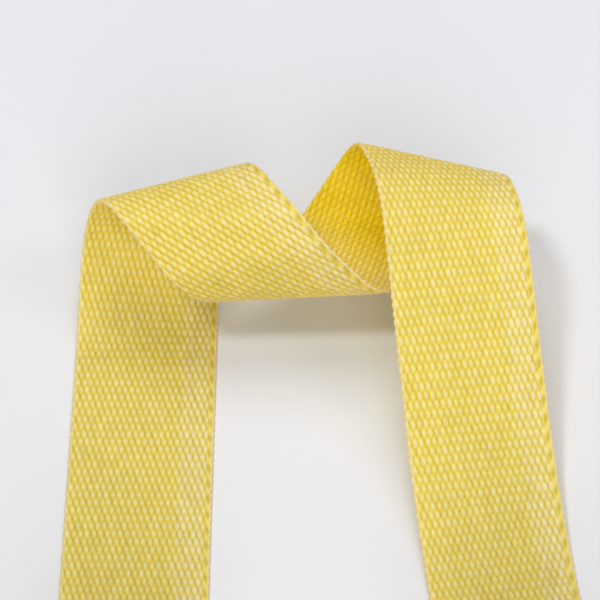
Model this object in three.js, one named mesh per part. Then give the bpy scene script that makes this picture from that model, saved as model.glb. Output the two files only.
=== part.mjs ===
// A woven yellow webbing belt, turned over itself three times, with both tails rolled up.
// Units are millimetres and degrees, +Z is up, and the belt lies on the plane z = 0.
import * as THREE from 'three';
import { mergeVertices } from 'three/addons/utils/BufferGeometryUtils.js';

// Webbing.
const beltLength = 2600;
const beltWidth = 40;
const beltThickness = 1.4;

// Clearances.
const pieceGap = 0.3; // between neighbouring pieces of the strap
const bendGap = 0.5; // shortest flat stretch between two bends that follow each other
const wrapAir = 0.1; // between two wraps of a roll

// Left leg: where it lies and which way it points.
const leftLegX = -43.4;
const leftLegHeading = 0.4; // towards +X from +Y
const leftTailLength = 134; // flat, from the roll to the landing

// The bends in order along the strap. Slant tilts a bend's axis from square across the strap,
// lead is the flat stretch before it on the shorter edge.
const bends = [
  { name: 'left_landing', lead: 0, slant: 14, radius: 37, turn: 35 },
  { name: 'left_rise', lead: 1, slant: 14, radius: 20, turn: 71 },
  { name: 'left_fold', lead: bendGap, slant: 23, radius: 12, turn: 77 },
  { name: 'left_shoulder', lead: bendGap, slant: 35, radius: 9, turn: 38 },
  { name: 'lower_fold_entry', lead: 5.5, slant: 28, radius: 9.5, turn: 31, span: 'middle_span' },
  { name: 'lower_fold', lead: bendGap, slant: 38, radius: 10.5, turn: 89 },
  { name: 'lower_fold_exit', lead: bendGap, slant: 40, radius: 10.5, turn: 17 },
  { name: 'right_rise', lead: 20.5, slant: 33, radius: 9, turn: 43, span: 'rear_span' },
  { name: 'right_fold', lead: bendGap, slant: 22, radius: 9.5, turn: 113 },
  { name: 'right_shoulder', lead: bendGap, slant: 13, radius: 29, turn: 51 },
];
const rightLandingRadius = 115;
const rightTailLength = 44; // flat, from the landing to the roll

// Rolls, hems and sewing.
const rollCoreRadius = 3;
const hemLength = 20;
const hemPastTop = 10; // degrees from the top of the roll to the end of the belt
const stitchRowInset = 4; // from each end of the hem to its row
const stitchSideInset = 3;
const threadWidth = 0.6;
const threadHeight = 0.4;

const degreesPerFacet = 8;
const rollFacets = 48;
const hemFacets = 6;

const webbing = { color: 0xe8d06e, roughness: 0.62, metalness: 0 };
const hemmed = { color: 0xe2c862, roughness: 0.62, metalness: 0 };
const thread = { color: 0xf3e6a6, roughness: 0.5, metalness: 0 };

const rad = THREE.MathUtils.degToRad;
const halfWidth = beltWidth / 2;
const halfThickness = beltThickness / 2;

function namedMesh(name, geometry, finish) {
  geometry.computeVertexNormals();
  const mesh = new THREE.Mesh(geometry, new THREE.MeshStandardMaterial(finish));
  mesh.name = name;
  return mesh;
}

// A bend wraps the flat strap round an axis. Along is the distance down the strap's middle line.
function makeBend(name, along, slant, radius, turn, side) {
  const normal = new THREE.Vector3(Math.cos(slant), Math.sin(slant), 0);
  const axis = new THREE.Vector3(-Math.sin(slant), Math.cos(slant), 0);
  const length = radius * turn;
  const centre = new THREE.Vector3(along, 0, side * radius).addScaledVector(normal, -length / 2);
  const halfRun = length / 2 / Math.cos(slant);
  return { name, along, slant, radius, turn, side, normal, axis, length, centre, halfRun };
}

// Carries a point of the flat strap (along, across, above) to its place on the bent belt.
function bentPoint(along, across, above, chain) {
  const point = new THREE.Vector3(along, across, above);
  for (const bend of [...chain].reverse()) {
    const distance = (along - bend.along) * bend.normal.x + across * bend.normal.y;
    const wrapped = THREE.MathUtils.clamp(distance + bend.length / 2, 0, bend.length);
    point.addScaledVector(bend.normal, -wrapped);
    point.sub(bend.centre);
    point.applyAxisAngle(bend.axis, (-bend.side * wrapped) / bend.radius);
    point.add(bend.centre);
  }
  const heading = rad(leftLegHeading);
  return new THREE.Vector3(
    leftLegX + point.x * Math.sin(heading) - point.y * Math.cos(heading),
    point.x * Math.cos(heading) + point.y * Math.sin(heading),
    halfThickness + point.z,
  );
}

// The bends are laid out one after another so that no two meet inside the strap's width.
const chain = [];
for (const { name, lead, slant, radius, turn } of bends) {
  const previous = chain.at(-1);
  const halfRun = (radius * rad(turn)) / 2 / Math.cos(rad(slant));
  let along = halfRun;
  if (previous) {
    const fan = halfWidth * Math.abs(Math.tan(rad(slant)) - Math.tan(previous.slant));
    along = previous.along + previous.halfRun + fan + lead + halfRun;
  }
  chain.push(makeBend(name, along, rad(slant), radius, rad(turn), 1));
}

// The right leg leaves the last bend as a sloping plane. Its landing turns it level at the height
// of the table, about the level line of that plane.
function landingOf(plane) {
  const start = plane.at(-1).along + plane.at(-1).halfRun + halfWidth;
  const origin = bentPoint(start, 0, 0, plane);
  const down = bentPoint(start + 1, 0, 0, plane).sub(origin);
  const sideways = bentPoint(start, 1, 0, plane).sub(origin);
  const slant = Math.atan(sideways.z / down.z);
  const fall = Math.cos(slant) * down.z + Math.sin(slant) * sideways.z;
  const turn = Math.asin(-fall);
  const startHeight = halfThickness + rightLandingRadius * (1 - Math.cos(turn));
  const middle = (startHeight - origin.z) / fall + (rightLandingRadius * turn) / 2;
  const along = start + middle / Math.cos(slant);
  return makeBend('right_landing', along, slant, rightLandingRadius, turn, -1);
}
chain.push(landingOf(chain));

// A piece of strap between slanted lines: a thin box whose ends and facets follow those lines.
function strapPiece(name, lines) {
  const segments = lines.length - 1;
  let geometry = new THREE.BoxGeometry(segments, beltWidth, beltThickness, segments, 1, 1);
  const position = geometry.attributes.position;
  for (let i = 0; i < position.count; i += 1) {
    const line = lines[Math.round(position.getX(i) + segments / 2)];
    const across = position.getY(i);
    const along = line.along - across * Math.tan(line.slant);
    const point = bentPoint(along, across, position.getZ(i), chain);
    position.setXYZ(i, point.x, point.y, point.z);
  }
  geometry.deleteAttribute('normal');
  geometry.deleteAttribute('uv');
  geometry = mergeVertices(geometry, 1e-6);
  return namedMesh(name, geometry, webbing);
}

function bendLines(bend) {
  const facets = Math.ceil(THREE.MathUtils.radToDeg(bend.turn) / degreesPerFacet);
  const lines = [];
  for (let i = 0; i <= facets; i += 1) {
    lines.push({ along: bend.along + bend.halfRun * ((2 * i) / facets - 1), slant: bend.slant });
  }
  return lines;
}
const firstLine = (bend) => ({ along: bend.along - bend.halfRun, slant: bend.slant });
const lastLine = (bend) => ({ along: bend.along + bend.halfRun, slant: bend.slant });
const shifted = (line, by) => ({ along: line.along + by, slant: line.slant });

const belt = new THREE.Group();

// Flat pieces lie between two bends; short wedges between bends belong to the bend before them.
const spanAfter = new Map([['right_shoulder', 'right_fall']]);
bends.forEach(({ span }, i) => {
  if (span) spanAfter.set(bends[i - 1].name, span);
});
chain.forEach((bend, i) => {
  const next = chain[i + 1];
  const lines = bendLines(bend);
  if (next && spanAfter.has(bend.name)) {
    const from = shifted(lastLine(bend), pieceGap);
    const to = shifted(firstLine(next), -pieceGap);
    belt.add(strapPiece(spanAfter.get(bend.name), [from, to]));
  } else if (next) {
    lines.push(shifted(firstLine(next), -pieceGap));
  }
  belt.add(strapPiece(bend.name, lines));
});

// Flat tails, kept clear of the curve of the rolls.
const leftRollAt = firstLine(chain[0]).along - leftTailLength;
const rightRollAt = lastLine(chain.at(-1)).along + rightTailLength;
const storedLength = (beltLength - (rightRollAt - leftRollAt)) / 2 - hemLength;
const wrap = beltThickness + wrapAir;
const rollRadius = Math.sqrt((storedLength * wrap) / Math.PI + rollCoreRadius ** 2);
const clearOfRoll = Math.sqrt(rollRadius ** 2 - (rollRadius - beltThickness - pieceGap) ** 2);
belt.add(
  strapPiece('left_tail', [
    { along: leftRollAt + clearOfRoll, slant: 0 },
    shifted(firstLine(chain[0]), -pieceGap),
  ]),
  strapPiece('right_tail', [
    shifted(lastLine(chain.at(-1)), pieceGap),
    { along: rightRollAt - clearOfRoll, slant: 0 },
  ]),
);

// A roll stands on the table at the end of its tail. Its strap is folded in half and wound up, so
// that the hemmed end lies outside, over the top. Y points from the roll back to the belt.
function rolledTail(side, foot, towardsBelt) {
  const roll = new THREE.Group();
  roll.position.set(foot.x, foot.y, rollRadius);
  roll.rotation.z = Math.atan2(foot.x - towardsBelt.x, towardsBelt.y - foot.y);

  const drum = new THREE.CylinderGeometry(rollRadius, rollRadius, beltWidth, rollFacets);
  drum.rotateZ(Math.PI / 2);
  roll.add(namedMesh(`${side}_roll`, drum, webbing));

  const hemInner = rollRadius + pieceGap;
  const hemOuter = hemInner + beltThickness;
  const endAngle = Math.PI / 2 + rad(hemPastTop);
  const startAngle = endAngle - hemLength / hemInner;
  const sector = new THREE.Shape();
  sector.absarc(0, 0, hemOuter, startAngle, endAngle, false);
  sector.absarc(0, 0, hemInner, endAngle, startAngle, true);
  const hemOptions = { depth: beltWidth, bevelEnabled: false, curveSegments: hemFacets };
  const hem = new THREE.ExtrudeGeometry(sector, hemOptions);
  hem.translate(0, 0, -halfWidth);
  const hemMesh = namedMesh(`${side}_hem`, hem, hemmed);
  hemMesh.rotation.set(Math.PI / 2, 0, Math.PI / 2, 'ZYX');
  roll.add(hemMesh);

  const rowAngles = {
    end: endAngle - stitchRowInset / hemInner,
    inner: startAngle + stitchRowInset / hemInner,
  };
  for (const [row, angle] of Object.entries(rowAngles)) {
    const rowLength = beltWidth - 2 * stitchSideInset;
    const stitches = new THREE.BoxGeometry(rowLength, threadWidth, threadHeight);
    const mesh = namedMesh(`${side}_stitch_row_${row}`, stitches, thread);
    const reach = hemOuter + pieceGap + threadHeight / 2;
    mesh.position.set(0, reach * Math.cos(angle), reach * Math.sin(angle));
    mesh.rotation.x = angle - Math.PI / 2;
    roll.add(mesh);
  }
  return roll;
}

belt.add(
  rolledTail(
    'left',
    bentPoint(leftRollAt, 0, 0, chain),
    bentPoint(firstLine(chain[0]).along, 0, 0, chain),
  ),
  rolledTail(
    'right',
    bentPoint(rightRollAt, 0, 0, chain),
    bentPoint(lastLine(chain.at(-1)).along, 0, 0, chain),
  ),
);

// The origin is the middle of the belt's footprint, at table height.
const footprint = new THREE.Box3().setFromObject(belt, true);
const middle = footprint.getCenter(new THREE.Vector3());
belt.position.set(-middle.x, -middle.y, 0);

export default belt;
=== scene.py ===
import bpy
import bmesh
import math
import numpy as np
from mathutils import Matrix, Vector

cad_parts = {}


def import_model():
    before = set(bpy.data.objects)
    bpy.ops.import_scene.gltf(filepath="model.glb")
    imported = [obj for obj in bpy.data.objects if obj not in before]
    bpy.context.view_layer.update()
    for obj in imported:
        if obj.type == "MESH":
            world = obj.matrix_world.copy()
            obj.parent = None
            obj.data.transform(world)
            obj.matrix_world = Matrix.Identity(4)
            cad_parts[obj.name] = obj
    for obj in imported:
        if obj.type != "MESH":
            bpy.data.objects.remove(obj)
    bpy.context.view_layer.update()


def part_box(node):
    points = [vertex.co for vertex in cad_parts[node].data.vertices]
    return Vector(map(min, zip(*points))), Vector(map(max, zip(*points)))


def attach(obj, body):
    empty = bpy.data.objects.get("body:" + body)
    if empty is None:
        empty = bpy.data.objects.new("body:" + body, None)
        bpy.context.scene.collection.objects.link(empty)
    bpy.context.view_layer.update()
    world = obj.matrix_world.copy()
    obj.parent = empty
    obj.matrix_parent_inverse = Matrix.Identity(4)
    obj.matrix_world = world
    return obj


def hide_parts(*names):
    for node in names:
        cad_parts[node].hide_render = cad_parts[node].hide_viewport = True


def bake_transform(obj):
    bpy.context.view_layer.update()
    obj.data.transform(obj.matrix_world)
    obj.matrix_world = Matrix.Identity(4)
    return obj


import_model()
print("frame loaded")

millimetre = 0.001

# The strap in millimetres, as it is bent: along it, across it and above its middle layer.
strap = {
    "length": 2600,
    "width": 40,
    "thickness": 1.4,
    "legX": -43.4,
    "legHeading": 0.4,
    "leftTail": 134,
    "rightTail": 44,
    "rightLandingRadius": 115,
    "bendGap": 0.5,
    "pieceGap": 0.3,
    "bends": [  # name, flat lead on the shorter edge, slant, radius, turn
        ("left_landing", 0, 14, 37, 35),
        ("left_rise", 1, 14, 20, 71),
        ("left_fold", 0.5, 23, 12, 77),
        ("left_shoulder", 0.5, 35, 9, 38),
        ("lower_fold_entry", 5.5, 28, 9.5, 31),
        ("lower_fold", 0.5, 38, 10.5, 89),
        ("lower_fold_exit", 0.5, 40, 10.5, 17),
        ("right_rise", 20.5, 33, 9, 43),
        ("right_fold", 0.5, 22, 9.5, 113),
        ("right_shoulder", 0.5, 13, 29, 51),
    ],
}
halfWidth = strap["width"] / 2
halfThickness = strap["thickness"] / 2

# The weave: warp yarns side by side, each passing over one row and under the next.
weave = {
    "columns": 45,
    "rowLength": 2.56,
    "lift": 0.25,  # rise and dip of a yarn about the middle of its face
    "bulge": 0.35,  # how much rounder a yarn is along its top
    "crown": 0.48,  # height of a yarn's round back
    "yarnWidth": 1.56,
    "lean": 0.11,  # sideways sweep of a yarn over one row
    "unevenHeight": 0.03,
    "unevenSide": 0.04,
    "backShift": 97,  # grains by which the back face's unevenness is shifted
    "deepest": 0.06,  # how far the gaps between yarns reach below their dips
    "looseEdge": 1.78,  # selvedge with slanted strands, on the negative side
    "strandSlope": 1.22,
    "strandLow": 0.3,
    "strandRise": 0.24,
    "strandLift": (0.1, 0.6),  # place on the colour ramp, lowest and what the top of a strand adds: painted shade between strands, painted highlight on their tops
    "looseSoft": 0.2,
    "rim": 0.85,
    "tightRim": 0.7,
    "rimLevel": 0.46,
    "rimRise": 0.09,
    "rimBlend": 3,
    "rimEnd": 0.04,  # keeps the rim from closing to a knife edge
    "paleEdge": 1.2,
    "tightPale": 0.55,
    "scallop": 0.16,
    # the glossier strip near the loose selvedge; its yarn tops also get a painted glint
    "glossAndGlintFrom": -18.2,
    "glossAndGlintTo": -10.5,
    "glossAndGlintSoft": (0.6, 1.5),  # how softly the glossy strip and its painted glint begin and end
}
columnWidth = strap["width"] / weave["columns"]
seed = np.random.default_rng(11)
unevenTable = seed.normal(0, 1, (3, 211, weave["columns"] + 2))


def makeBend(name, along, slant, radius, turn, side):
    length = radius * turn
    normal = np.array([math.cos(slant), math.sin(slant), 0])
    axis = np.array([-math.sin(slant), math.cos(slant), 0])
    centre = np.array([along, 0, side * radius]) - normal * length / 2
    halfRun = length / 2 / math.cos(slant)
    return {"name": name, "along": along, "slant": slant, "radius": radius, "side": side,
            "length": length, "normal": normal, "axis": axis, "centre": centre, "halfRun": halfRun}


def turned(points, axis, angle):
    c = np.cos(angle)[:, None]
    s = np.sin(angle)[:, None]
    return points * c + np.cross(axis, points) * s + (points @ axis)[:, None] * (1 - c) * axis


def bentPoints(flat, bends):
    points = flat.copy()
    for bend in reversed(bends):
        distance = (flat[:, 0] - bend["along"]) * bend["normal"][0] + flat[:, 1] * bend["normal"][1]
        wrapped = np.clip(distance + bend["length"] / 2, 0, bend["length"])
        points = points - bend["normal"] * wrapped[:, None] - bend["centre"]
        points = turned(points, bend["axis"], -bend["side"] * wrapped / bend["radius"]) + bend["centre"]
    heading = math.radians(strap["legHeading"])
    x = strap["legX"] + points[:, 0] * math.sin(heading) - points[:, 1] * math.cos(heading)
    y = points[:, 0] * math.cos(heading) + points[:, 1] * math.sin(heading)
    return np.column_stack([x, y, halfThickness + points[:, 2]])


def layBends():
    chain = []
    for name, lead, slant, radius, turn in strap["bends"]:
        slant = math.radians(slant)
        turn = math.radians(turn)
        halfRun = radius * turn / 2 / math.cos(slant)
        along = halfRun
        if chain:
            last = chain[-1]
            fan = halfWidth * abs(math.tan(slant) - math.tan(last["slant"]))
            along = last["along"] + last["halfRun"] + fan + lead + halfRun
        chain.append(makeBend(name, along, slant, radius, turn, 1))
    # the right leg slopes down to the table and is turned level there
    start = chain[-1]["along"] + chain[-1]["halfRun"] + halfWidth
    corner = np.array([[start, 0, 0], [start + 1, 0, 0], [start, 1, 0.0]])
    origin, ahead, aside = bentPoints(corner, chain)
    down = ahead - origin
    sideways = aside - origin
    slant = math.atan(sideways[2] / down[2])
    fall = math.cos(slant) * down[2] + math.sin(slant) * sideways[2]
    turn = math.asin(-fall)
    radius = strap["rightLandingRadius"]
    startHeight = halfThickness + radius * (1 - math.cos(turn))
    middle = (startHeight - origin[2]) / fall + radius * turn / 2
    chain.append(makeBend("right_landing", start + middle / math.cos(slant), slant, radius, turn, -1))
    return chain


chain = layBends()
bendNamed = {bend["name"]: bend for bend in chain}


def cutLine(bend, end, gap):
    return {"along": bend["along"] + end * (bend["halfRun"] + gap), "slant": bend["slant"]}


def belowAndAbove(lines, across, above):
    return np.array([[line["along"] - u * math.tan(line["slant"]), u, h]
                     for line in lines for u in across for h in above])


# the shift from the bent strap to the frame, from the corners of one flat node
spanLines = [
    cutLine(bendNamed["left_shoulder"], 1, strap["pieceGap"]),
    cutLine(bendNamed["lower_fold_entry"], -1, strap["pieceGap"]),
]
spanFlat = belowAndAbove(spanLines, (-halfWidth, halfWidth), (-halfThickness, halfThickness))
spanCorners = bentPoints(spanFlat, chain)
spanLow = np.array(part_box("middle_span")[0]) / millimetre
frameShift = spanLow - spanCorners.min(axis=0)


def strapPlace(flat):
    return (bentPoints(flat, chain) + frameShift) * millimetre


# The rolls: each tail is folded in half and wound up.
roll = {
    "hemLength": 20,
    "hemPastTop": 10,  # degrees from the top of the roll to the end of the belt
    "tailOverlap": 4,  # how far the tail's piece runs past half a turn
    "endOverlap": 6,  # how far the outer end's piece runs under the tail
}
wrap = strap["thickness"]
leftRollAt = cutLine(bendNamed["left_landing"], -1, strap["leftTail"])["along"]
rightRollAt = cutLine(bendNamed["right_landing"], 1, strap["rightTail"])["along"]
stored = (strap["length"] - (rightRollAt - leftRollAt)) / 2 - roll["hemLength"]
rollLow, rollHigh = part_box("left_roll")
rollRadius = (rollHigh[2] - rollLow[2]) / 2 / millimetre
middleRadius = rollRadius - halfThickness
growth = wrap / math.pi  # how much a strand's radius shrinks with each radian
endSweep = math.pi + math.radians(roll["hemPastTop"])
foldLength = math.pi * wrap / 2


def outerArc(turn, radius):
    return radius * turn - growth * turn * turn / 2


# turns of both strands, so that their lengths add up to what is stored
endArc = -outerArc(-endSweep, middleRadius - wrap)
spareArc = stored - endArc - foldLength
bothRadii = 2 * middleRadius - wrap
fullTurn = (bothRadii - math.sqrt(bothRadii ** 2 - 4 * growth * spareArc)) / (2 * growth)
legStrand = outerArc(fullTurn, middleRadius)
endStrand = outerArc(fullTurn, middleRadius - wrap) + endArc


def turnAt(distance, radius):
    return (radius - np.sqrt(radius ** 2 - 2 * growth * distance)) / growth


def rollSection(distance):
    onLeg = distance <= legStrand
    onFold = (distance > legStrand) & (distance <= legStrand + foldLength)
    onEnd = (distance > legStrand + foldLength) & (distance <= stored)
    onHemFold = (distance > stored) & (distance <= stored + foldLength)
    # the end strand is measured back from the inner fold
    back = np.clip(distance - legStrand - foldLength, 0, endStrand)
    endTurn = turnAt(outerArc(fullTurn, middleRadius - wrap) - back, middleRadius - wrap)
    flapRadius = middleRadius + growth * (endSweep - math.pi) + wrap
    flapTurn = -endSweep + np.clip(distance - stored - foldLength, 0, None) / flapRadius
    legTurn = turnAt(np.minimum(distance, legStrand), middleRadius)
    stretches = [onLeg, onFold, onEnd, onHemFold]
    turn = np.select(stretches, [legTurn, fullTurn, endTurn, -endSweep], flapTurn)
    angle = -math.pi / 2 - turn
    outward = np.column_stack([np.cos(angle), np.sin(angle)])
    forward = np.column_stack([np.sin(angle), -np.cos(angle)])
    legRadius = middleRadius - growth * turn
    foldRadius = legRadius - wrap / 2
    radii = [legRadius, foldRadius, legRadius - wrap, foldRadius]
    radius = np.select(stretches, radii, flapRadius)
    innerSweep = np.clip((distance - legStrand) / foldLength, 0, 1) * math.pi
    hemSweep = np.clip((distance - stored) / foldLength, 0, 1) * math.pi
    cosine = np.where(distance <= stored, np.cos(innerSweep), -np.cos(hemSweep))
    sine = np.where(distance <= stored, np.sin(innerSweep), -np.sin(hemSweep))
    face = outward * cosine[:, None] + forward * sine[:, None]
    onBend = (onFold | onHemFold)[:, None]
    middle = outward * radius[:, None] + np.where(onBend, face * wrap / 2, 0)
    return middle, face


def rollPlace(side):
    tangentAt = leftRollAt if side > 0 else rightRollAt
    landing = bendNamed["left_landing" if side > 0 else "right_landing"]
    towardsAt = landing["along"] - side * landing["halfRun"]
    foot, towards = bentPoints(np.array([[tangentAt, 0, 0], [towardsAt, 0, 0.0]]), chain)
    heading = math.atan2(foot[0] - towards[0], towards[1] - foot[1])

    def place(flat):
        distance = side * (tangentAt - flat[:, 0])
        middle, face = rollSection(np.clip(distance, 0, None))
        section = middle - face * (side * flat[:, 2])[:, None]
        section[:, 0] += np.clip(-distance, 0, None)
        across = -flat[:, 1]
        x = foot[0] + across * math.cos(heading) - section[:, 0] * math.sin(heading)
        y = foot[1] + across * math.sin(heading) + section[:, 0] * math.cos(heading)
        points = np.column_stack([x, y, rollRadius + section[:, 1]])
        return (points + frameShift) * millimetre

    return place, tangentAt


print("strap laid out,", round(stored), "mm in each roll")


def yarnHeight(along, across, face):
    row = along / weave["rowLength"] + (0 if face > 0 else 1)
    place = (across + halfWidth) / columnWidth - 0.5
    near = np.clip(np.round(place), 0, weave["columns"] - 1)
    best = np.full(len(along), -9.0)
    tone = np.zeros(len(along))
    for step in (-1, 0, 1):
        column = near + step
        phase = row + column
        grain = np.round(phase / 2).astype(int)
        slot = (column.astype(int) + 1) % unevenTable.shape[2]
        tableFace = 0 if face > 0 else weave["backShift"]
        high, sidewards, shade = unevenTable[:, (grain + tableFace) % unevenTable.shape[1], slot]
        sweep = np.sin(math.pi * phase)
        centre = column + (weave["lean"] * face * sweep + weave["unevenSide"] * sidewards) / columnWidth
        off = (place - centre) * columnWidth / (weave["yarnWidth"] / 2)
        back = weave["crown"] * (np.sqrt(np.clip(1 - off * off, 0, 1)) - 1)
        swing = np.cos(math.pi * phase)
        swing = swing * (1 - weave["bulge"] + weave["bulge"] * np.abs(swing))
        rise = weave["lift"] * swing + weave["unevenHeight"] * high * (swing > 0)
        height = np.where(np.abs(off) < 1, rise + back, -9)
        tone = np.where(height > best, shade, tone)
        best = np.maximum(best, height)
    floor = -weave["lift"] - weave["deepest"]
    return np.clip(best, floor, weave["lift"]), tone


def webbingSurface(along, across, face):
    height, tone = yarnHeight(along, across, face)
    level = halfThickness - weave["lift"] + height
    lift = np.clip((height + weave["lift"]) / (2 * weave["lift"]), 0, 1)
    # slanted strands of the loose selvedge
    fromEdge = across + halfWidth
    slanted = along - weave["strandSlope"] * fromEdge
    strand = 0.5 + 0.5 * np.cos(math.pi * slanted / weave["rowLength"])
    strandLevel = weave["strandLow"] + weave["strandRise"] * strand ** 1.5
    inLoose = np.clip((weave["looseEdge"] - fromEdge) / weave["looseSoft"] + 0.5, 0, 1)
    level = level * (1 - inLoose) + strandLevel * inLoose
    # on the strands, lift picks painted shade low down and painted highlight on top
    liftLow, liftRise = weave["strandLift"]
    lift = lift * (1 - inLoose) + (liftLow + liftRise * strand) * inLoose
    # round scalloped rims
    wave = np.cos(2 * math.pi * along / weave["rowLength"])
    fromRim = halfWidth - np.abs(across)
    rimWidth = np.where(across < 0, weave["rim"], weave["tightRim"])
    rim = np.clip(1 - fromRim / rimWidth, 0, 1)
    rimLevel = weave["rimLevel"] + weave["rimRise"] * wave
    level = np.where(rim > 0, level + (rimLevel - level) * np.clip(rim * weave["rimBlend"], 0, 1), level)
    level = level * np.sqrt(np.clip(1 - rim ** 2, weave["rimEnd"], 1))
    sideways = -np.sign(across) * weave["scallop"] * (1 - wave) * rim
    paleWidth = np.where(across < 0, weave["rim"], weave["paleEdge"])
    pale = np.clip(2 - 2 * fromRim / paleWidth, 0, 1)
    pale = pale * np.where(across < 0, 1, weave["tightPale"])
    # glossier strip, whose yarn tops also get a painted glint in the finish
    softStart, softEnd = weave["glossAndGlintSoft"]
    glossAndPaintedGlint = np.clip((across - weave["glossAndGlintFrom"]) / softStart + 0.5, 0, 1)
    glossAndPaintedGlint = glossAndPaintedGlint * np.clip((weave["glossAndGlintTo"] - across) / softEnd + 0.5, 0, 1)
    return level, sideways, lift, glossAndPaintedGlint, pale, tone


# Painted shade: the inner face inside the second fold, which lies in shade, is painted a deeper yellow.
paintedShadeSpan = {
    "start": 19,  # past the middle of the lower fold
    "full": 37,
    "fadeOut": 20,  # across the middle of the right fold
}


# how much painted shade the inner face gets along the strap
def paintedShadeShare(along, face):
    past = along - bendNamed["lower_fold"]["along"]
    ahead = bendNamed["right_fold"]["along"] - along
    entering = np.clip((past - paintedShadeSpan["start"]) / (paintedShadeSpan["full"] - paintedShadeSpan["start"]), 0, 1)
    leaving = np.clip(ahead / paintedShadeSpan["fadeOut"] + 0.5, 0, 1)
    share = np.minimum(entering, leaving)
    return share * share * (3 - 2 * share) * (face > 0)


def webbingPiece(name, place, start, end, perColumn, rowStep):
    length = end["along"] - start["along"]
    rows = max(fewestRows, round(abs(length) / rowStep))
    bm = bmesh.new()
    bmesh.ops.create_grid(bm, x_segments=rows, y_segments=weave["columns"] * perColumn, size=0.5)
    bmesh.ops.solidify(bm, geom=bm.faces[:], thickness=0.1)
    bm.normal_update()
    for face in bm.faces:
        if abs(face.normal.x) > 0.5:
            for edge in face.edges:
                edge.smooth = False
    mesh = bpy.data.meshes.new(name)
    bm.to_mesh(mesh)
    bm.free()
    grid = np.empty(len(mesh.vertices) * 3)
    mesh.vertices.foreach_get("co", grid)
    grid = grid.reshape(-1, 3)
    low = grid.min(axis=0)
    share = (grid - low) / (grid.max(axis=0) - low)
    face = np.where(share[:, 2] > 0.5, 1, -1)
    across = (share[:, 1] * 2 - 1) * halfWidth
    startAlong = start["along"] - across * math.tan(start["slant"])
    endAlong = end["along"] - across * math.tan(end["slant"])
    along = startAlong + (endAlong - startAlong) * share[:, 0]
    above = np.zeros(len(along))
    values = {key: np.zeros(len(along)) for key in ("lift", "glossAndPaintedGlint", "rim", "tone")}
    values["paintedShade"] = paintedShadeShare(along, face)
    shifted = across.copy()
    for one in (1, -1):
        picked = face == one
        level, sideways, lift, glossAndPaintedGlint, rim, tone = webbingSurface(along[picked], across[picked], one)
        above[picked] = one * level
        shifted[picked] += sideways
        for key, value in (("lift", lift), ("glossAndPaintedGlint", glossAndPaintedGlint), ("rim", rim), ("tone", tone)):
            values[key][picked] = value
    for key, value in values.items():
        mesh.attributes.new(key, "FLOAT", "POINT").data.foreach_set("value", value.astype(np.float32))
    flat = np.column_stack([along, across, above]).astype(np.float32) * millimetre
    mesh.attributes.new("flatPlace", "FLOAT_VECTOR", "POINT").data.foreach_set("vector", flat.ravel())
    return pieceFrom(name, mesh, place(np.column_stack([along, shifted, above])))


def pieceFrom(name, mesh, points):
    mesh.vertices.foreach_set("co", points.ravel())
    mesh.polygons.foreach_set("use_smooth", [True] * len(mesh.polygons))
    mesh.update()
    # faces that bending left inside out are turned round
    bm = bmesh.new()
    bm.from_mesh(mesh)
    if bm.calc_volume(signed=True) < 0:
        bmesh.ops.reverse_faces(bm, faces=bm.faces[:])
        bm.to_mesh(mesh)
    bm.free()
    piece = bpy.data.objects.new(name, mesh)
    bpy.context.collection.objects.link(piece)
    return piece


def addNode(tree, kind, **values):
    node = tree.nodes.new(kind)
    for key, value in values.items():
        if key in node.inputs:
            node.inputs[key].default_value = value
        else:
            setattr(node, key, value)
    return node


def attributeNode(tree, name):
    return addNode(tree, "ShaderNodeAttribute", attribute_name=name, attribute_type="GEOMETRY")


def mixColors(tree, first, second, factor, mode="MIX"):
    node = tree.nodes.new("ShaderNodeMix")
    node.data_type = "RGBA"
    node.blend_type = mode
    for socket, value in ((node.inputs[6], first), (node.inputs[7], second), (node.inputs[0], factor)):
        if isinstance(value, (tuple, float, int)):
            socket.default_value = value
        else:
            tree.links.new(value, socket)
    return node.outputs[2]


def calculated(tree, operation, first, second=0.0, third=0.0):
    node = tree.nodes.new("ShaderNodeMath")
    node.operation = operation
    for socket, value in zip(node.inputs, (first, second, third)):
        if isinstance(value, (float, int)):
            socket.default_value = value
        else:
            tree.links.new(value, socket)
    return node.outputs[0]


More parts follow.
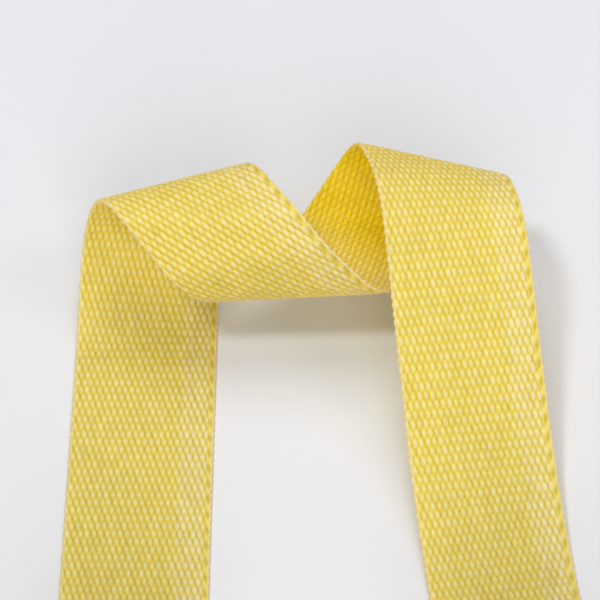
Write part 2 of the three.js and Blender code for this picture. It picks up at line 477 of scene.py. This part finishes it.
def webbingFinish(name, look):
    material = bpy.data.materials.new(name)
    material.use_nodes = True
    tree = material.node_tree
    shader = tree.nodes["Principled BSDF"]
    lift = attributeNode(tree, "lift").outputs["Fac"]
    glossAndPaintedGlint = attributeNode(tree, "glossAndPaintedGlint").outputs["Fac"]
    rim = attributeNode(tree, "rim").outputs["Fac"]
    tone = attributeNode(tree, "tone").outputs["Fac"]
    place = attributeNode(tree, "flatPlace").outputs["Vector"]
    # fibres run along the yarns
    stretch = addNode(tree, "ShaderNodeMapping")
    stretch.inputs["Scale"].default_value = look["fibreScale"]
    tree.links.new(place, stretch.inputs["Vector"])
    fibres = addNode(tree, "ShaderNodeTexNoise", Scale=1.0, Detail=3.0, Roughness=0.6)
    tree.links.new(stretch.outputs["Vector"], fibres.inputs["Vector"])
    patches = addNode(tree, "ShaderNodeTexNoise", Scale=look["patchScale"], Detail=2.0)
    tree.links.new(place, patches.inputs["Vector"])
    # painted shade and highlight: the notches between yarns are coloured darker for shade, the crowns
    # paler for highlight
    ramp = tree.nodes.new("ShaderNodeValToRGB")
    tree.links.new(lift, ramp.inputs["Fac"])
    ramp.color_ramp.elements[0].color = look["paintedNotchShade"]
    ramp.color_ramp.elements[1].color = look["crown"]
    body = ramp.color_ramp.elements.new(look["bodyAt"])
    body.color = look["body"]
    color = ramp.outputs["Color"]
    # painted glint: the yarn tops in the glossy strip are coloured whiter
    paintedGlint = calculated(tree, "MULTIPLY", glossAndPaintedGlint, calculated(tree, "POWER", lift, 2.0))
    color = mixColors(tree, color, look["paintedGlint"], calculated(tree, "MULTIPLY", paintedGlint, look["paintedGlintShare"]))
    color = mixColors(tree, color, look["rim"], calculated(tree, "MULTIPLY", rim, look["rimShare"]))
    shade = calculated(tree, "MULTIPLY_ADD", tone, look["toneSpread"], 1.0)
    shade = calculated(tree, "MULTIPLY_ADD", patches.outputs["Fac"], look["patchSpread"], shade)
    shade = calculated(tree, "MULTIPLY_ADD", fibres.outputs["Fac"], look["fibreSpread"], shade)
    shade = calculated(tree, "SUBTRACT", shade, (look["patchSpread"] + look["fibreSpread"]) / 2)
    grey = tree.nodes.new("ShaderNodeCombineColor")
    for socket in grey.inputs[:3]:
        tree.links.new(shade, socket)
    color = mixColors(tree, color, grey.outputs["Color"], 1.0, "MULTIPLY")
    # painted shade: deeper yellow multiplied in where the inner face lies in shade
    paintedShade = attributeNode(tree, "paintedShade").outputs["Fac"]
    color = mixColors(tree, color, look["paintedShade"], paintedShade, "MULTIPLY")
    tree.links.new(color, shader.inputs["Base Color"])
    rough = calculated(tree, "MULTIPLY_ADD", glossAndPaintedGlint, -look["glossier"], look["roughness"])
    rough = calculated(tree, "MULTIPLY_ADD", fibres.outputs["Fac"], look["fibreRoughness"], rough)
    tree.links.new(rough, shader.inputs["Roughness"])
    bump = addNode(tree, "ShaderNodeBump", Strength=look["fibreRelief"], Distance=look["fibreDepth"])
    tree.links.new(fibres.outputs["Fac"], bump.inputs["Height"])
    tree.links.new(bump.outputs["Normal"], shader.inputs["Normal"])
    shader.inputs["Specular IOR Level"].default_value = look["specular"]
    shader.inputs["Sheen Weight"].default_value = look["sheen"]
    shader.inputs["Sheen Roughness"].default_value = look["sheenRoughness"]
    shader.inputs["Sheen Tint"].default_value = look["sheenTint"]
    shader.inputs["IOR"].default_value = look["ior"]
    # light passes through the thin cloth and comes out deeper yellow
    through = tree.nodes.new("ShaderNodeBsdfTranslucent")
    through.inputs["Color"].default_value = look["through"]
    tree.links.new(bump.outputs["Normal"], through.inputs["Normal"])
    both = addNode(tree, "ShaderNodeMixShader", Fac=look["throughLight"])
    tree.links.new(shader.outputs["BSDF"], both.inputs[1])
    tree.links.new(through.outputs["BSDF"], both.inputs[2])
    tree.links.new(both.outputs["Shader"], tree.nodes["Material Output"].inputs["Surface"])
    return material


yellowLook = {
    # the notch colour is painted shade between the yarns, the crown colour a painted highlight on their
    # tops
    "paintedNotchShade": (0.60, 0.49, 0.03, 1),
    "body": (0.97, 0.86, 0.16, 1),
    "crown": (1.0, 0.98, 0.54, 1),
    "paintedShade": (0.96, 0.84, 0.0, 1),  # painted shade: deeper yellow for the inner face that lies in shade
    # painted glint on the yarn tops of the glossy strip
    "paintedGlint": (1.0, 0.99, 0.72, 1),
    "through": (1.0, 0.81, 0.0, 1),  # light that has passed through the cloth
    "bodyAt": 0.57,
    "paintedGlintShare": 0.75,
    "rim": (0.97, 0.91, 0.58, 1),
    "rimShare": 1.0,
    "toneSpread": 0.025,
    "patchSpread": 0.1,
    "patchScale": 60.0,
    "fibreScale": (900, 9000, 900),
    "fibreSpread": 0.14,
    "fibreRelief": 0.35,
    "fibreDepth": 0.00006,
    "fibreRoughness": 0.1,
    "roughness": 0.32,
    "glossier": 0.06,
    "specular": 0.5,
    "ior": 1.52,
    "sheen": 0.45,
    "sheenRoughness": 0.5,
    "sheenTint": (1, 0.97, 0.85, 1),
    "throughLight": 0.43,
}
yellowWebbing = webbingFinish("yellow webbing", yellowLook)


def dress(piece, material, nodes):
    piece.data.materials.clear()
    piece.data.materials.append(material)
    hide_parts(*nodes)


# how closely the cloth is divided: across a yarn, and along the strap in millimetres
fine = {"perColumn": 4, "rowStep": 0.33}
plain = {"perColumn": 3, "rowStep": 0.44}
hidden = {"perColumn": 1, "rowStep": 1.1}
fewestRows = 8
halfGap = strap["bendGap"] / 2


def before(name):
    return cutLine(bendNamed[name], -1, halfGap)


def after(name):
    return cutLine(bendNamed[name], 1, halfGap)


def strapPiece(name, start, end, body, nodes):
    piece = webbingPiece(name, strapPlace, start, end, **fine)
    dress(piece, yellowWebbing, nodes)
    if isinstance(body, str):
        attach(piece, body)
    else:
        bend = bendNamed[nodes[0]]
        first = np.array([bend["along"] - bend["halfRun"], 0, 0])
        last = first + bend["normal"] * bend["length"]
        ends = strapPlace(np.array([first, last]))
        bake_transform(piece)


legCut = {"along": -88, "slant": 0}
strapPieces = [  # name, start, end, body or pair of bodies, nodes it stands for, how it is held
    ("left_leg_webbing", legCut, before("left_landing"), "left_end", ["left_tail"], "laid"),
    ("left_landing_webbing", before("left_landing"), after("left_landing"),
     ("left_end", "left_leg"), ["left_landing"], "laid"),
    ("left_rise_webbing", after("left_landing"), before("left_fold"),
     "left_leg", ["left_rise"], "folded"),
    ("left_fold_webbing", before("left_fold"), after("left_fold"),
     ("left_leg", "middle"), ["left_fold"], "folded"),
    ("middle_webbing", after("left_fold"), before("lower_fold"),
     "middle", ["left_shoulder", "middle_span", "lower_fold_entry"], "folded"),
    ("lower_fold_webbing", before("lower_fold"), after("lower_fold"),
     ("middle", "rear"), ["lower_fold"], "folded"),
    ("rear_webbing", after("lower_fold"), before("right_fold"),
     "rear", ["lower_fold_exit", "rear_span", "right_rise"], "folded"),
    ("right_fold_webbing", before("right_fold"), after("right_fold"),
     ("rear", "right_leg"), ["right_fold"], "folded"),
    ("right_leg_webbing", after("right_fold"), before("right_landing"),
     "right_leg", ["right_shoulder", "right_fall"], "folded"),
    ("right_landing_webbing", before("right_landing"), after("right_landing"),
     ("right_leg", "right_end"), ["right_landing"], "laid"),
]
for name, start, end, body, nodes, held in strapPieces:
    strapPiece(name, start, end, body, nodes)
print("strap woven")


def rollPieces(name, side):
    place, tangentAt = rollPlace(side)
    flatEnd = legCut if side > 0 else after("right_landing")
    halfTurn = math.pi * middleRadius + roll["tailOverlap"]
    endLength = endSweep * (middleRadius - halfThickness) + roll["endOverlap"]
    flapEnd = stored + foldLength + roll["hemLength"]

    def lineAt(distance):
        return {"along": tangentAt - side * distance, "slant": 0}

    endStart = lineAt(stored - endLength)
    tailLength = halfTurn + abs(tangentAt - flatEnd["along"])
    turnsLength = stored - endLength - halfTurn
    stretches = [  # name, start, end, how finely, slot, node, length
        ("_tail_webbing", lineAt(halfTurn), flatEnd, plain, "webbing", "_tail", tailLength),
        ("_roll_outer_end", lineAt(stored), endStart, plain, "webbing", "_roll", endLength),
        ("_hem_flap", lineAt(flapEnd), lineAt(stored), plain, "hem_webbing", "_hem", flapEnd - stored),
        ("_roll_turns", endStart, lineAt(halfTurn), hidden, "webbing", "_roll", turnsLength),
    ]
    for part, start, end, fineness, slot, node, length in stretches:
        piece = webbingPiece(name + part, place, start, end, **fineness)
        dress(piece, yellowWebbing, [name + node])
        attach(piece, name + "_end")


rollPieces("left", 1)
rollPieces("right", -1)
print("tails rolled")

# Two rows of machine stitches hold each hem.
sewing = {
    "rowInset": 4,  # from each end of the hem
    "sideInset": 3,
    "stitches": 11,
    "gap": 0.5,
    "thread": 0.27,
    "facets": 12,  # round the thread
    "steps": 14,  # along one stitch
    "apart": 10,  # between the balls that the stitches are made from
    "rise": 0.16,  # of a stitch's middle above the face of the hem
    "dip": 0.38,  # of a stitch's ends below that
    "ply": 0.13,
    "plyTurns": 1.6,
    "light": (0.97, 0.90, 0.52, 1),
    "dark": (0.90, 0.78, 0.34, 1),
    "roughness": 0.45,
    "sheen": 0.4,
    "grain": 2500.0,
}


def threadFinish():
    material = bpy.data.materials.new("sewing thread")
    material.use_nodes = True
    tree = material.node_tree
    shader = tree.nodes["Principled BSDF"]
    coordinates = tree.nodes.new("ShaderNodeTexCoord")
    grain = addNode(tree, "ShaderNodeTexNoise", Scale=sewing["grain"], Detail=2.0)
    tree.links.new(coordinates.outputs["Object"], grain.inputs["Vector"])
    color = mixColors(tree, sewing["dark"], sewing["light"], grain.outputs["Fac"])
    tree.links.new(color, shader.inputs["Base Color"])
    shader.inputs["Roughness"].default_value = sewing["roughness"]
    shader.inputs["Sheen Weight"].default_value = sewing["sheen"]
    return material


sewingThread = threadFinish()


def stitchRow(name, side, row, fromFold):
    place, tangentAt = rollPlace(side)
    rowLength = strap["width"] - 2 * sewing["sideInset"]
    pitch = rowLength / sewing["stitches"]
    halfStitch = (pitch - sewing["gap"]) / 2
    bm = bmesh.new()
    bmesh.ops.create_uvsphere(bm, u_segments=sewing["facets"], v_segments=sewing["steps"], radius=1)
    first = bm.verts[:] + bm.edges[:] + bm.faces[:]
    for number in range(1, sewing["stitches"]):
        copied = bmesh.ops.duplicate(bm, geom=first)["geom"]
        moved = [item for item in copied if isinstance(item, bmesh.types.BMVert)]
        bmesh.ops.translate(bm, verts=moved, vec=(0, 0, sewing["apart"] * number))
    mesh = bpy.data.meshes.new(name)
    bm.to_mesh(mesh)
    bm.free()
    ball = np.empty(len(mesh.vertices) * 3)
    mesh.vertices.foreach_get("co", ball)
    ball = ball.reshape(-1, 3)
    number = np.round(ball[:, 2] / sewing["apart"])
    t = np.clip(ball[:, 2] - sewing["apart"] * number, -1, 1)
    # the ball becomes a two-ply thread whose ends dive into the hem
    fuller = np.sqrt((1 - t ** 4) / np.maximum(1 - t ** 2, 0.0001))
    twist = np.arctan2(ball[:, 1], ball[:, 0]) + sewing["plyTurns"] * math.pi * t
    ply = 1 + sewing["ply"] * np.cos(2 * twist)
    thick = sewing["thread"] * fuller * ply
    across = (number + 0.5) * pitch - rowLength / 2 + halfStitch * t
    height = halfThickness + sewing["rise"] - sewing["dip"] * t ** 2 + thick * ball[:, 1]
    distance = stored + foldLength + fromFold + thick * ball[:, 0]
    points = place(np.column_stack([tangentAt - side * distance, across, -side * height]))
    piece = pieceFrom(name, mesh, points)
    dress(piece, sewingThread, [row])
    return piece


rowPlaces = {"end": sewing["rowInset"], "inner": roll["hemLength"] - sewing["rowInset"]}
for side, sign in (("left", 1), ("right", -1)):
    for part, fromFold in rowPlaces.items():
        row = side + "_stitch_row_" + part
        stitches = stitchRow(side + "_stitches_" + part, sign, row, fromFold)
        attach(stitches, side + "_end")
print("hems sewn")


lamps = [  # name, azimuth, elevation, distance, size, energy, color
    ("key", -60, 66, 6, 1.05, 108, (1, 0.99, 0.97)),
    ("overhead", 180, 66, 3.5, 2.3, 45, (1, 1, 1)),
    ("right fill", 75, 50, 4, 1.5, 15.5, (1, 0.99, 0.98)),
    ("front", 5, 31, 4, 2.4, 61, (1, 1, 1)),
]
room = {
    "tableSize": 3,  # metres from its middle to its edge
    "table": (0.73, 0.735, 0.765, 1),
    "tableRoughness": 0.7,
    "tableSpecular": 0.2,
    "air": (0.97, 0.985, 1, 1),
    "airLight": 0.29,
}


def buildStage():
    bm = bmesh.new()
    bmesh.ops.create_grid(bm, x_segments=1, y_segments=1, size=room["tableSize"])
    mesh = bpy.data.meshes.new("table")
    bm.to_mesh(mesh)
    bm.free()
    table = bpy.data.objects.new("table", mesh)
    bpy.context.collection.objects.link(table)
    material = bpy.data.materials.new("pale table")
    material.use_nodes = True
    shader = material.node_tree.nodes["Principled BSDF"]
    shader.inputs["Base Color"].default_value = room["table"]
    shader.inputs["Roughness"].default_value = room["tableRoughness"]
    shader.inputs["Specular IOR Level"].default_value = room["tableSpecular"]
    table.data.materials.append(material)


def addLamp(name, azimuth, elevation, distance, size, energy, color):
    lamp = bpy.data.lights.new(name, "AREA")
    lamp.shape = "DISK"
    lamp.size = size
    lamp.energy = energy
    lamp.color = color
    item = bpy.data.objects.new(name, lamp)
    bpy.context.collection.objects.link(item)
    direction = directionAt(azimuth, elevation)
    item.location = target + direction * distance
    item.rotation_euler = direction.to_track_quat("Z", "Y").to_euler()


def directionAt(azimuth, elevation):
    a = math.radians(azimuth)
    e = math.radians(elevation)
    return Vector((math.cos(e) * math.sin(a), -math.cos(e) * math.cos(a), math.sin(e)))


view = {
    "target": (-0.00926, 0.07225, 0),
    "elevation": 50.92,
    "distance": 0.83656,
    "lens": 175,
    "sensor": 36,
    "nearest": 0.01,
}
target = Vector(view["target"])

camera = bpy.data.objects.new("camera", bpy.data.cameras.new("camera"))
bpy.context.collection.objects.link(camera)
camera.data.lens = view["lens"]
camera.data.sensor_width = view["sensor"]
camera.data.clip_start = view["nearest"]
sight = directionAt(0, view["elevation"])
camera.location = target + sight * view["distance"]
camera.rotation_euler = sight.to_track_quat("Z", "Y").to_euler()
bpy.context.scene.camera = camera

buildStage()
for lamp in lamps:
    addLamp(*lamp)
world = bpy.data.worlds.new("soft room")
bpy.context.scene.world = world
world.use_nodes = True
world.node_tree.nodes["Background"].inputs["Color"].default_value = room["air"]
world.node_tree.nodes["Background"].inputs["Strength"].default_value = room["airLight"]
bpy.context.scene.view_settings.view_transform = "Standard"
bpy.context.scene.view_settings.look = "None"
print("stage lit")
